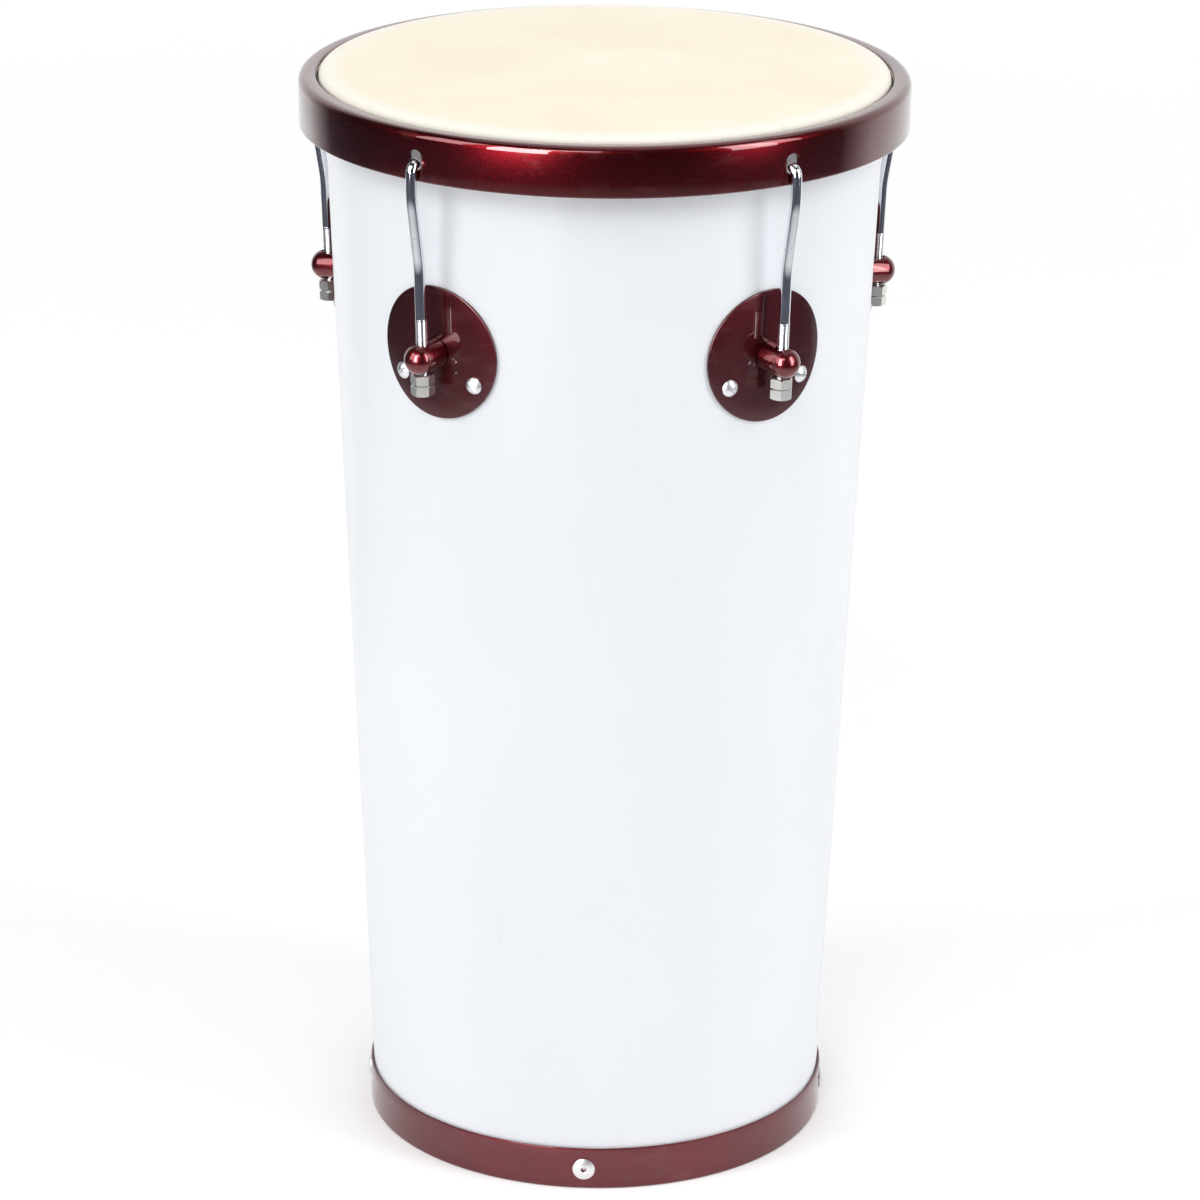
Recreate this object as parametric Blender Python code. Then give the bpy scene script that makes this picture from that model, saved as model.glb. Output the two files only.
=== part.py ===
"""A rebolo hand drum: a tapered wooden shell with a white laminate, a head tucked on a
flesh hoop, a pressed counter hoop drawn down by five hook rods, and a riveted base ring.

Metres, +Z up. The origin is on the drum's axis, on the plane that the base ring stands on.
Azimuth 0 faces -Y and grows towards +X.
"""

import math

import bmesh
import bpy
from mathutils import Matrix, Vector

# Fits
FIT_GAP = 0.0003
DRILL_OVERSHOOT = 0.004

# Shell and laminate
SHELL_LENGTH = 0.598
SHELL_TOP_DIAMETER = 0.2992
SHELL_BOTTOM_DIAMETER = 0.2492
SHELL_WALL = 0.007
BEARING_ROUND = 0.003
BEARING_FLAT = 0.0006
LAMINATE_THICKNESS = 0.0008
LAMINATE_SETBACK = 0.005

# Base ring and its blind rivets
RING_HEIGHT = 0.0242
RING_THICKNESS = 0.0015
RING_FLANGE = 0.009
RING_CORNER = 0.0012
RIVET_COUNT = 4
RIVET_FIRST_AZIMUTH = math.radians(-2.6)
RIVET_HEAD_DIAMETER = 0.0122
RIVET_HEAD_HEIGHT = 0.0021
RIVET_HEAD_RIM = 0.0006
RIVET_BODY_DIAMETER = 0.0048
RIVET_MOUTH_DIAMETER = 0.0034
RIVET_MOUTH_DEPTH = 0.0024
RIVET_BULB_DIAMETER = 0.0072
RIVET_BULB_LENGTH = 0.004

# Head: skin tucked round a steel wire hoop
SKIN_THICKNESS = 0.001
SKIN_SHOULDER = 0.004
COLLAR_CLEARANCE = 0.0013
FLESH_WIRE_DIAMETER = 0.0064
FLESH_STANDOFF = 0.0008
FLESH_DROP = 0.0093
TUCK_END = math.radians(480.0)

# Counter hoop, pressed from sheet
HOOP_THICKNESS = 0.002
HOOP_HEIGHT = 0.0266
HOOP_CORNER = 0.004
HOOP_SIDE_GAP = 0.0005
HOOP_LIP_GAP = 0.0015
SLOT_WIDTH = 0.0082
SLOT_HEIGHT = 0.011

# Lugs, around the shell
LUG_COUNT = 5
LUG_FIRST_AZIMUTH = math.radians(-36.0)
LUG_DROP = 0.1228
PLATE_DIAMETER = 0.072
PLATE_THICKNESS = 0.0014
POST_DIAMETER = 0.0159
POST_LENGTH = 0.0216
POST_DOME = 0.006
POST_CHAMFER = 0.0006
POST_BORE = 0.0076
SPIGOT_DIAMETER = 0.008

# Hook rods and their nuts
ROD_DIAMETER = 0.0058
THREAD_DIAMETER = 0.00635
THREAD_STEP = 0.0003
THREAD_ABOVE_POST = 0.0215
ROD_STANDOFF = 0.0133
ROD_OFFSET_RUN = 0.038
ROD_BEND = 0.075
HOOK_DROP = 0.0172
HOOK_REACH = 0.0065
HOOK_BEND = 0.0045
HOOK_NECK = 0.0174
NECK_GAP = 0.0005
NUT_ACROSS_FLATS = 0.0111
NUT_HEIGHT = 0.0056
NUT_TURNS = (36.0, 54.0, 16.0, 40.0, 8.0)

# Plate screws, each with a flanged nut inside the shell
SCREW_SPREAD = 0.0458
SCREW_DROP = 0.0145
SCREW_DIAMETER = 0.0048
SCREW_HEAD_DIAMETER = 0.009
SCREW_HEAD_HEIGHT = 0.0026
SCREW_RIM_SHARES = (0.92, 0.45)
SCREW_CROWN_SHARES = (0.55, 0.86)
SCREW_SLOT_WIDTH = 0.0012
SCREW_SLOT_DEPTH = 0.0012
SCREW_TAIL = 0.0015
SCREW_NUT_FLANGE_DIAMETER = 0.012
SCREW_NUT_FLANGE = 0.001
SCREW_NUT_ACROSS_FLATS = 0.008
SCREW_NUT_HEIGHT = 0.0042

# Facets
RING_SIDES = 60
PLATE_SIDES = 36
POST_SIDES = 16
SMALL_SIDES = 10
TUCK_STEPS = 6
SHOULDER_STEPS = 3
CORNER_STEPS = 3
DOME_STEPS = 3
BEND_STEPS = 3
SLOT_STEPS = 5
SHARP_ANGLE = math.radians(35.0)

# Levels and radii that follow from the sizes above
SHELL_FOOT = RING_THICKNESS + FIT_GAP
SHELL_TOP = SHELL_FOOT + SHELL_LENGTH
LUG_HEIGHT = SHELL_TOP - LUG_DROP
SHELL_SLOPE = (SHELL_TOP_DIAMETER - SHELL_BOTTOM_DIAMETER) / 2.0 / SHELL_LENGTH
SHELL_TILT = math.atan(SHELL_SLOPE)
FACET_BOW = 1.0 - math.cos(math.pi / RING_SIDES)


def wood_radius(height):
    """Outer radius of the wooden shell at a height."""
    return SHELL_BOTTOM_DIAMETER / 2.0 + (height - SHELL_FOOT) * SHELL_SLOPE


def laminate_radius(height):
    """Outer radius of the laminate at a height."""
    return wood_radius(height) + FIT_GAP + LAMINATE_THICKNESS


SKIN_UNDERSIDE = SHELL_TOP + FIT_GAP
SKIN_TOP = SKIN_UNDERSIDE + SKIN_THICKNESS
COLLAR_RADIUS = laminate_radius(SHELL_TOP) + COLLAR_CLEARANCE + SKIN_THICKNESS
SHOULDER_CENTRE = Vector((COLLAR_RADIUS - SKIN_SHOULDER, SKIN_TOP - SKIN_SHOULDER))
FLESH_CENTRE = Vector((
    COLLAR_RADIUS + FLESH_STANDOFF + FLESH_WIRE_DIAMETER / 2.0,
    SKIN_TOP - FLESH_DROP,
))
TUCK_INNER = FLESH_WIRE_DIAMETER / 2.0 + FIT_GAP
TUCK_OUTER = TUCK_INNER + SKIN_THICKNESS
HOOP_INNER = FLESH_CENTRE.x + TUCK_OUTER + HOOP_SIDE_GAP
HOOP_OUTER = HOOP_INNER + HOOP_THICKNESS
HOOP_UNDERSIDE = FLESH_CENTRE.y + TUCK_OUTER + FIT_GAP
HOOP_TOP = HOOP_UNDERSIDE + HOOP_THICKNESS
HOOK_LEVEL = HOOP_TOP - HOOK_DROP
PLATE_BACK = FIT_GAP
PLATE_FACE = PLATE_BACK + PLATE_THICKNESS
POST_BASE = PLATE_FACE + FIT_GAP
WALL_DEPTH = LAMINATE_THICKNESS + FIT_GAP + SHELL_WALL


def clear_scene():
    """Remove every object that the file opened with."""
    for item in list(bpy.data.objects):
        bpy.data.objects.remove(item)


def finish(name, colour, metallic, roughness):
    """A Principled material of one colour."""
    material = bpy.data.materials.new(name)
    material.use_nodes = True
    shader = material.node_tree.nodes["Principled BSDF"]
    shader.inputs["Base Color"].default_value = (*colour, 1.0)
    shader.inputs["Metallic"].default_value = metallic
    shader.inputs["Roughness"].default_value = roughness
    return material


def mesh_from(bm):
    """Close a bmesh, turn its faces outwards and return it as a mesh."""
    bmesh.ops.remove_doubles(bm, verts=bm.verts, dist=1e-6)
    bmesh.ops.recalc_face_normals(bm, faces=bm.faces)
    mesh = bpy.data.meshes.new("solid")
    bm.to_mesh(mesh)
    bm.free()
    return mesh


def place(name, mesh, material, frame=None):
    """Put a mesh in the scene as one named sub-part."""
    if not mesh.materials:
        mesh.materials.append(material)
    mesh.shade_smooth()
    mesh.set_sharp_from_angle(angle=SHARP_ANGLE)
    item = bpy.data.objects.new(name, mesh)
    item.matrix_world = frame or Matrix.Identity(4)
    bpy.context.collection.objects.link(item)
    return item


def carved(blank, tools):
    """A mesh with each (operation, tool mesh) applied to it by an exact Boolean."""
    target = bpy.data.objects.new("blank", blank)
    scratch = [target]
    for operation, tool in tools:
        cutter = bpy.data.objects.new("tool", tool)
        cutter.hide_render = True
        cutter.display_type = "WIRE"
        scratch.append(cutter)
        step = target.modifiers.new("carve", "BOOLEAN")
        step.operation = operation
        step.solver = "EXACT"
        step.object = cutter
    for item in scratch:
        bpy.context.collection.objects.link(item)
    depsgraph = bpy.context.evaluated_depsgraph_get()
    mesh = bpy.data.meshes.new_from_object(target.evaluated_get(depsgraph))
    for item in scratch:
        bpy.data.objects.remove(item)
    return mesh


def gathered(mesh, frames):
    """One mesh that holds a copy of a solid at each frame."""
    bm = bmesh.new()
    for frame in frames:
        first = len(bm.verts)
        bm.from_mesh(mesh)
        bm.verts.ensure_lookup_table()
        bmesh.ops.transform(bm, matrix=frame, verts=bm.verts[first:])
    result = bpy.data.meshes.new("group")
    bm.to_mesh(result)
    bm.free()
    return result


def turned(profile, sides):
    """Turn a (radius, height) outline about Z; one that starts on the axis ends on it."""
    bm = bmesh.new()
    verts = [bm.verts.new((radius, 0.0, height)) for radius, height in profile]
    edges = [bm.edges.new(pair) for pair in zip(verts, verts[1:])]
    if profile[0][0] > 0.0:
        edges.append(bm.edges.new((verts[-1], verts[0])))
    bmesh.ops.spin(
        bm, geom=verts + edges, cent=(0.0, 0.0, 0.0), axis=(0.0, 0.0, 1.0),
        angle=2.0 * math.pi, steps=sides, use_merge=True,
    )
    return mesh_from(bm)


def rod_stock(diameter, low, high, sides):
    """A round or many-sided bar along Z, from one height to another."""
    bm = bmesh.new()
    middle = Matrix.Translation((0.0, 0.0, (low + high) / 2.0))
    bmesh.ops.create_cone(
        bm, cap_ends=True, segments=sides, radius1=diameter / 2.0, radius2=diameter / 2.0,
        depth=high - low, matrix=middle,
    )
    return mesh_from(bm)


def arc(centre, radius, start, end, steps):
    """Points on an arc in the (radius, height) plane, its ends included."""
    points = []
    for step in range(steps + 1):
        angle = start + (end - start) * step / steps
        points.append((centre[0] + radius * math.cos(angle), centre[1] + radius * math.sin(angle)))
    return points


def facing(azimuth):
    """A frame on the drum's axis whose +X points outwards at an azimuth."""
    return Matrix.Rotation(azimuth - math.pi / 2.0, 4, "Z")


def wall_plane(height):
    """In the plane y = 0: +X square to the laminate at a height, +Z up along the wall."""
    at_height = Matrix.Translation((laminate_radius(height), 0.0, height))
    return at_height @ Matrix.Rotation(SHELL_TILT, 4, "Y")


def lug_azimuths():
    """The azimuths of the lugs, evenly spaced."""
    return [LUG_FIRST_AZIMUTH + index * 2.0 * math.pi / LUG_COUNT for index in range(LUG_COUNT)]


def outward(frame):
    """The same place with +Z where the frame's +X was, for pieces turned about Z."""
    return frame @ Matrix.Rotation(math.pi / 2.0, 4, "Y")


def screw_frames():
    """Label and frame, +Z outwards on the laminate, of the two screws of every plate."""
    height = LUG_HEIGHT - SCREW_DROP
    side_angle = math.asin(SCREW_SPREAD / 2.0 / laminate_radius(height))
    frames = {}
    for index, azimuth in enumerate(lug_azimuths(), start=1):
        for side, swing in (("left", -side_angle), ("right", side_angle)):
            frames[f"{index}_{side}"] = outward(facing(azimuth + swing) @ wall_plane(height))
    return frames


def rivet_frames():
    """Label and frame, +Z outwards on the base ring, of each rivet."""
    frames = {}
    for index in range(RIVET_COUNT):
        azimuth = RIVET_FIRST_AZIMUTH + index * 2.0 * math.pi / RIVET_COUNT
        at_ring = Matrix.Translation((ring_outer_radius(), 0.0, RING_HEIGHT / 2.0))
        frames[f"{index + 1}"] = outward(facing(azimuth) @ at_ring)
    return frames


def rod_plane():
    """In the plane y = 0: +Z along a rod's lower axis, origin where it crosses the post."""
    return wall_plane(LUG_HEIGHT) @ Matrix.Translation((ROD_STANDOFF, 0.0, 0.0))


def ring_outer_radius():
    """Outer radius of the base ring, which fits round the laminate at the ring's top."""
    return laminate_radius(RING_HEIGHT) + FIT_GAP + RING_THICKNESS


def wall_drills():
    """The holes through the shell and the laminate for the screws and the rivets."""
    hole = SCREW_DIAMETER + 2.0 * FIT_GAP
    screw_hole = rod_stock(hole, -WALL_DEPTH - DRILL_OVERSHOOT, DRILL_OVERSHOOT, SMALL_SIDES)
    screw_holes = gathered(screw_hole, screw_frames().values())
    hole = RIVET_BODY_DIAMETER + 2.0 * FIT_GAP
    depth = ring_outer_radius() - wood_radius(SHELL_FOOT) + SHELL_WALL + DRILL_OVERSHOOT
    rivet_hole = rod_stock(hole, -depth, DRILL_OVERSHOOT, SMALL_SIDES)
    rivet_holes = gathered(rivet_hole, rivet_frames().values())
    return screw_holes, rivet_holes


def make_shell(material, drills):
    """Wooden shell: straight taper, bearing edge rounded outside and chamfered inside."""
    crest = wood_radius(SHELL_TOP) - BEARING_ROUND
    inner_top = SHELL_TOP - (SHELL_WALL - BEARING_ROUND - BEARING_FLAT)
    profile = [
        (wood_radius(SHELL_FOOT) - SHELL_WALL, SHELL_FOOT),
        (wood_radius(SHELL_FOOT), SHELL_FOOT),
        (wood_radius(SHELL_TOP - BEARING_ROUND), SHELL_TOP - BEARING_ROUND),
    ]
    profile += arc((crest, SHELL_TOP - BEARING_ROUND), BEARING_ROUND, 0.0, math.pi / 2.0, CORNER_STEPS)[1:]
    profile += [
        (crest - BEARING_FLAT, SHELL_TOP),
        (wood_radius(inner_top) - SHELL_WALL, inner_top),
    ]
    blank = turned(profile, RING_SIDES)
    place("shell", carved(blank, [("DIFFERENCE", drill) for drill in drills]), material)


def make_laminate(material, drills):
    """White laminate glued round the shell, stopping short of the bearing edge."""
    top = SHELL_TOP - LAMINATE_SETBACK
    profile = [
        (laminate_radius(SHELL_FOOT) - LAMINATE_THICKNESS, SHELL_FOOT),
        (laminate_radius(SHELL_FOOT), SHELL_FOOT),
        (laminate_radius(top), top),
        (laminate_radius(top) - LAMINATE_THICKNESS, top),
    ]
    blank = turned(profile, RING_SIDES)
    mesh = carved(blank, [("DIFFERENCE", drill) for drill in drills])
    place("shell_laminate", mesh, material)


def make_base_ring(material, rivet_holes):
    """Base ring: an upright band with a flange turned in under the shell's end."""
    outer = ring_outer_radius()
    inner = outer - RING_THICKNESS
    flange_edge = inner - RING_FLANGE
    corner = (outer - RING_CORNER, RING_CORNER)
    profile = [(flange_edge, 0.0)]
    profile += arc(corner, RING_CORNER, -math.pi / 2.0, 0.0, CORNER_STEPS)
    profile += [
        (outer, RING_HEIGHT),
        (inner, RING_HEIGHT),
        (inner, RING_THICKNESS),
        (flange_edge, RING_THICKNESS),
    ]
    blank = turned(profile, RING_SIDES)
    place("bottom_ring", carved(blank, [("DIFFERENCE", rivet_holes)]), material)


def make_rivets(material):
    """Blind rivets: domed head with an open mouth, body, and a bulb inside the shell."""
    seat = FIT_GAP
    rim = seat + RIVET_HEAD_RIM
    crown = seat + RIVET_HEAD_HEIGHT
    bulb = wood_radius(RING_HEIGHT / 2.0) - SHELL_WALL - ring_outer_radius()
    bulb -= FIT_GAP + RIVET_BULB_DIAMETER / 2.0 * SHELL_SLOPE + wood_radius(SHELL_FOOT) * FACET_BOW
    mouth = RIVET_MOUTH_DIAMETER / 2.0
    head = RIVET_HEAD_DIAMETER / 2.0
    body = RIVET_BODY_DIAMETER / 2.0
    swell = RIVET_BULB_DIAMETER / 2.0
    profile = [
        (0.0, crown - RIVET_MOUTH_DEPTH),
        (mouth, crown - RIVET_MOUTH_DEPTH),
        (mouth, crown),
        ((mouth + head) / 2.0, crown - RIVET_HEAD_RIM / 2.0),
        (head, rim),
        (head, seat),
        (body, seat),
        (body, bulb),
        (swell, bulb),
        (swell, bulb - RIVET_BULB_LENGTH / 2.0),
        (0.0, bulb - RIVET_BULB_LENGTH),
    ]
    rivet = turned(profile, SMALL_SIDES)
    for label, frame in rivet_frames().items():
        place(f"ring_rivet_{label}", rivet, material, frame)


def tuck_angle():
    """Tilt of the collar, which runs straight from the shoulder to inside the wire hoop."""
    across = FLESH_CENTRE - SHOULDER_CENTRE
    radii = SKIN_SHOULDER - SKIN_THICKNESS / 2.0 + (TUCK_INNER + TUCK_OUTER) / 2.0
    return math.atan2(across.y, across.x) - math.asin(radii / across.length) + math.pi / 2.0


def make_skin(material):
    """Head skin: flat top, rounded shoulder, collar, and its edge tucked round the wire."""
    lean = tuck_angle()
    quarter = math.pi / 2.0
    start = math.pi + lean
    under_shoulder = SKIN_SHOULDER - SKIN_THICKNESS
    outside = [(0.0, SKIN_TOP)]
    outside += arc(SHOULDER_CENTRE, SKIN_SHOULDER, quarter, lean, SHOULDER_STEPS)
    outside += arc(FLESH_CENTRE, TUCK_INNER, start, TUCK_END, TUCK_STEPS)
    inside = arc(FLESH_CENTRE, TUCK_OUTER, TUCK_END, start, TUCK_STEPS)
    inside += arc(SHOULDER_CENTRE, under_shoulder, lean, quarter, SHOULDER_STEPS)
    inside += [(0.0, SKIN_UNDERSIDE)]
    place("head_skin", turned(outside + inside, RING_SIDES), material)


def make_flesh_hoop(material):
    """Round steel wire that the skin is tucked round."""
    start = math.pi + tuck_angle()
    step = (TUCK_END - start) / TUCK_STEPS
    sides = int(2.0 * math.pi / step)
    wire = arc(FLESH_CENTRE, FLESH_WIRE_DIAMETER / 2.0, start, start + sides * step, sides)
    place("flesh_hoop", turned(wire, RING_SIDES), material)


def make_counter_hoop(material):
    """Counter hoop: upright band with a rounded top flange, slotted for the hooks."""
    bottom = HOOP_TOP - HOOP_HEIGHT
    lip = COLLAR_RADIUS + HOOP_LIP_GAP
    bend = (HOOP_OUTER - HOOP_CORNER, HOOP_TOP - HOOP_CORNER)
    quarter = math.pi / 2.0
    edge = HOOP_THICKNESS / 2.0
    profile = [(HOOP_INNER, bottom), (HOOP_OUTER, bottom)]
    profile += arc(bend, HOOP_CORNER, 0.0, quarter, CORNER_STEPS)
    profile += arc((lip + edge, HOOP_TOP - edge), edge, quarter, 3.0 * quarter, 2)
    profile += arc(bend, HOOP_CORNER - HOOP_THICKNESS, quarter, 0.0, CORNER_STEPS)
    blank = turned(profile, RING_SIDES)
    slot = gathered(hook_slot(), [facing(azimuth) for azimuth in lug_azimuths()])
    place("counter_hoop", carved(blank, [("DIFFERENCE", slot)]), material)


def hook_slot():
    """Round-ended upright slot through the hoop's wall; the hook's bend rests at its foot."""
    inner_bend = HOOK_BEND - ROD_DIAMETER / 2.0
    bend_in_wall = max(inner_bend - NECK_GAP, 0.0)
    sag = inner_bend - math.sqrt(inner_bend ** 2 - bend_in_wall ** 2)
    foot = HOOK_LEVEL - ROD_DIAMETER / 2.0 - sag - FIT_GAP
    radius = SLOT_WIDTH / 2.0
    outline = arc((0.0, foot + SLOT_HEIGHT - radius), radius, 0.0, math.pi, SLOT_STEPS)
    outline += arc((0.0, foot + radius), radius, math.pi, 2.0 * math.pi, SLOT_STEPS)
    bm = bmesh.new()
    start = HOOP_INNER - DRILL_OVERSHOOT
    face = bm.faces.new([bm.verts.new((start, y, z)) for y, z in outline])
    grown = bmesh.ops.extrude_face_region(bm, geom=[face], use_keep_orig=True)
    moved = [item for item in grown["geom"] if isinstance(item, bmesh.types.BMVert)]
    length = HOOP_THICKNESS + 2.0 * DRILL_OVERSHOOT
    bmesh.ops.translate(bm, vec=(length, 0.0, 0.0), verts=moved)
    return mesh_from(bm)


def make_plates(material, screw_holes):
    """Lug plates: round discs bent to the shell, drilled for a post and two screws."""
    reach = PLATE_DIAMETER
    low, high = LUG_HEIGHT - reach, LUG_HEIGHT + reach
    band = [
        (laminate_radius(low) + PLATE_BACK, low),
        (laminate_radius(low) + PLATE_FACE, low),
        (laminate_radius(high) + PLATE_FACE, high),
        (laminate_radius(high) + PLATE_BACK, high),
    ]
    across = outward(wall_plane(LUG_HEIGHT))
    disc = rod_stock(PLATE_DIAMETER, -reach / 2.0, reach / 2.0, PLATE_SIDES)
    disc.transform(across)
    hole = SPIGOT_DIAMETER + 2.0 * FIT_GAP
    centre_hole = rod_stock(hole, -DRILL_OVERSHOOT, DRILL_OVERSHOOT, SMALL_SIDES)
    centre_hole.transform(across)
    azimuths = lug_azimuths()
    holes = screw_holes.copy()
    holes.transform(facing(azimuths[0]).inverted())
    tools = [("INTERSECT", disc), ("DIFFERENCE", centre_hole), ("DIFFERENCE", holes)]
    plate = carved(turned(band, RING_SIDES), tools)
    for index, azimuth in enumerate(azimuths, start=1):
        place(f"lug_plate_{index}", plate, material, facing(azimuth))


def make_posts(material):
    """Lug posts: domed studs with a spigot peened into the plate, bored for the rod."""
    radius = POST_DIAMETER / 2.0
    end = POST_BASE + POST_LENGTH
    ball = (radius ** 2 + POST_DOME ** 2) / (2.0 * POST_DOME)
    dome_start = math.asin((ball - POST_DOME) / ball)
    profile = [
        (0.0, PLATE_BACK),
        (SPIGOT_DIAMETER / 2.0, PLATE_BACK),
        (SPIGOT_DIAMETER / 2.0, POST_BASE),
        (radius - POST_CHAMFER, POST_BASE),
        (radius, POST_BASE + POST_CHAMFER),
    ]
    profile += arc((0.0, end - ball), ball, dome_start, math.pi / 2.0, DOME_STEPS)[:-1]
    profile += [(0.0, end)]
    post = turned(profile, POST_SIDES)
    post.transform(Matrix.Rotation(math.pi / 2.0, 4, "Y"))
    bore = rod_stock(POST_BORE, -POST_DIAMETER, POST_DIAMETER, SMALL_SIDES)
    bore.transform(Matrix.Translation((ROD_STANDOFF, 0.0, 0.0)))
    mesh = carved(post, [("DIFFERENCE", bore)])
    for index, azimuth in enumerate(lug_azimuths(), start=1):
        place(f"lug_post_{index}", mesh, material, facing(azimuth) @ wall_plane(LUG_HEIGHT))


def rounded_path(corners, steps):
    """Straight runs between (x, z, bend radius) corners, with an arc at each inner one."""
    points = [Vector(corners[0][:2])]
    for before, here, after in zip(corners, corners[1:], corners[2:]):
        corner = Vector(here[:2])
        back = (Vector(before[:2]) - corner).normalized()
        ahead = (Vector(after[:2]) - corner).normalized()
        turn = math.pi - back.angle(ahead)
        start = corner + back * here[2] * math.tan(turn / 2.0)
        centre = corner + (back + ahead).normalized() * here[2] / math.cos(turn / 2.0)
        side = 1.0 if back.cross(ahead) < 0.0 else -1.0
        for step in range(steps + 1):
            swing = Matrix.Rotation(side * turn * step / steps, 2)
            points.append(centre + swing @ (start - centre))
    points.append(Vector(corners[-1][:2]))
    return points


def rod_foot():
    """How far below the post's axis a rod ends, flush with the lock nut."""
    return POST_DIAMETER / 2.0 + 2.0 * (FIT_GAP + NUT_HEIGHT)


def rod_line():
    """A rod's centre line in its own frame, from the hook's tip to the thread's end."""
    axis = rod_plane()
    neck = HOOP_OUTER + NECK_GAP + ROD_DIAMETER / 2.0
    neck_end = HOOK_LEVEL - HOOK_NECK
    offset_end = neck_end - ROD_OFFSET_RUN
    along = (offset_end - axis.translation.z) / math.cos(SHELL_TILT)
    low_bend = axis @ Vector((0.0, 0.0, along))
    foot = axis @ Vector((0.0, 0.0, THREAD_ABOVE_POST))
    corners = [
        (HOOP_INNER - HOOK_REACH, HOOK_LEVEL, 0.0),
        (neck, HOOK_LEVEL, HOOK_BEND),
        (neck, neck_end, ROD_BEND),
        (low_bend.x, low_bend.z, ROD_BEND),
        (foot.x, foot.z, 0.0),
    ]
    to_rod = axis.inverted()
    return [to_rod @ Vector((x, 0.0, z)) for x, z in rounded_path(corners, BEND_STEPS)]


def make_rods(material):
    """Hook rods: bent wire, hooked through the hoop above, threaded below."""
    curve = bpy.data.curves.new("hook_rod", "CURVE")
    curve.dimensions = "3D"
    curve.bevel_depth = ROD_DIAMETER / 2.0
    curve.bevel_resolution = 2
    curve.use_fill_caps = True
    swell = THREAD_DIAMETER / ROD_DIAMETER
    line = [(point, 1.0) for point in rod_line()]
    line.append((Vector((0.0, 0.0, THREAD_ABOVE_POST - THREAD_STEP)), swell))
    line.append((Vector((0.0, 0.0, -rod_foot())), swell))
    spline = curve.splines.new("POLY")
    spline.points.add(len(line) - 1)
    for point, (place_at, size) in zip(spline.points, line):
        point.co = (*place_at, 1.0)
        point.radius = size
    curve.materials.append(material)
    for index, azimuth in enumerate(lug_azimuths(), start=1):
        rod = bpy.data.objects.new(f"hook_rod_{index}", curve)
        rod.matrix_world = facing(azimuth) @ rod_plane()
        bpy.context.collection.objects.link(rod)


def hex_nut(across_flats, bore, low, high):
    """A plain hexagon nut on Z, a flat facing +X, bored with clearance for its thread."""
    blank = rod_stock(across_flats / math.cos(math.pi / 6.0), low, high, 6)
    hole = rod_stock(bore, low - DRILL_OVERSHOOT, high + DRILL_OVERSHOOT, SMALL_SIDES)
    return carved(blank, [("DIFFERENCE", hole)])


def make_nuts(material):
    """Tension nuts under the posts, each with a lock nut below it."""
    bore = THREAD_DIAMETER + 2.0 * FIT_GAP
    seat = -POST_DIAMETER / 2.0 - FIT_GAP
    lower_seat = seat - NUT_HEIGHT - FIT_GAP
    tension_nut = hex_nut(NUT_ACROSS_FLATS, bore, seat - NUT_HEIGHT, seat)
    lock_nut = hex_nut(NUT_ACROSS_FLATS, bore, lower_seat - NUT_HEIGHT, lower_seat)
    for index, azimuth in enumerate(lug_azimuths(), start=1):
        turn = math.radians(NUT_TURNS[(index - 1) % len(NUT_TURNS)])
        frame = facing(azimuth) @ rod_plane() @ Matrix.Rotation(turn, 4, "Z")
        place(f"tension_nut_{index}", tension_nut, material, frame)
        place(f"lock_nut_{index}", lock_nut, material, frame)


def screw_nut_seat():
    """How far inside the laminate a screw's flanged nut seats, clear of the hollow wall."""
    inside = laminate_radius(LUG_HEIGHT - SCREW_DROP) - WALL_DEPTH
    hollow = (SCREW_NUT_FLANGE_DIAMETER / 2.0) ** 2 / (2.0 * inside) + inside * FACET_BOW
    return -WALL_DEPTH - hollow - FIT_GAP


def make_screws(material):
    """Slotted dome-headed screws that hold the plates to the shell."""
    seat = PLATE_FACE + FIT_GAP
    nut_end = screw_nut_seat() - SCREW_NUT_HEIGHT
    head = SCREW_HEAD_DIAMETER / 2.0
    crown = seat + SCREW_HEAD_HEIGHT
    profile = [
        (0.0, nut_end - SCREW_TAIL),
        (SCREW_DIAMETER / 2.0, nut_end - SCREW_TAIL),
        (SCREW_DIAMETER / 2.0, seat),
        (head, seat),
        (head * SCREW_RIM_SHARES[0], seat + SCREW_HEAD_HEIGHT * SCREW_RIM_SHARES[1]),
        (head * SCREW_CROWN_SHARES[0], seat + SCREW_HEAD_HEIGHT * SCREW_CROWN_SHARES[1]),
        (0.0, crown),
    ]
    bm = bmesh.new()
    bmesh.ops.create_cube(bm, size=1.0)
    length = SCREW_HEAD_DIAMETER * 2.0
    bmesh.ops.scale(bm, vec=(length, SCREW_SLOT_WIDTH, SCREW_SLOT_DEPTH * 2.0), verts=bm.verts)
    bmesh.ops.translate(bm, vec=(0.0, 0.0, crown), verts=bm.verts)
    screw = carved(turned(profile, SMALL_SIDES), [("DIFFERENCE", mesh_from(bm))])
    for label, frame in screw_frames().items():
        place(f"lug_screw_{label}", screw, material, frame)


def make_screw_nuts(material):
    """Hexagon nuts with a washer flange, on the screws inside the shell."""
    seat = screw_nut_seat()
    foot = seat - SCREW_NUT_HEIGHT
    bore = SCREW_DIAMETER + 2.0 * FIT_GAP
    flange = rod_stock(SCREW_NUT_FLANGE_DIAMETER, seat - SCREW_NUT_FLANGE, seat, SMALL_SIDES)
    hexagon = rod_stock(SCREW_NUT_ACROSS_FLATS / math.cos(math.pi / 6.0), foot, seat, 6)
    hole = rod_stock(bore, foot - DRILL_OVERSHOOT, seat + DRILL_OVERSHOOT, SMALL_SIDES)
    nut = carved(flange, [("UNION", hexagon), ("DIFFERENCE", hole)])
    for label, frame in screw_frames().items():
        place(f"lug_screw_nut_{label}", nut, material, frame)


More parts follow.
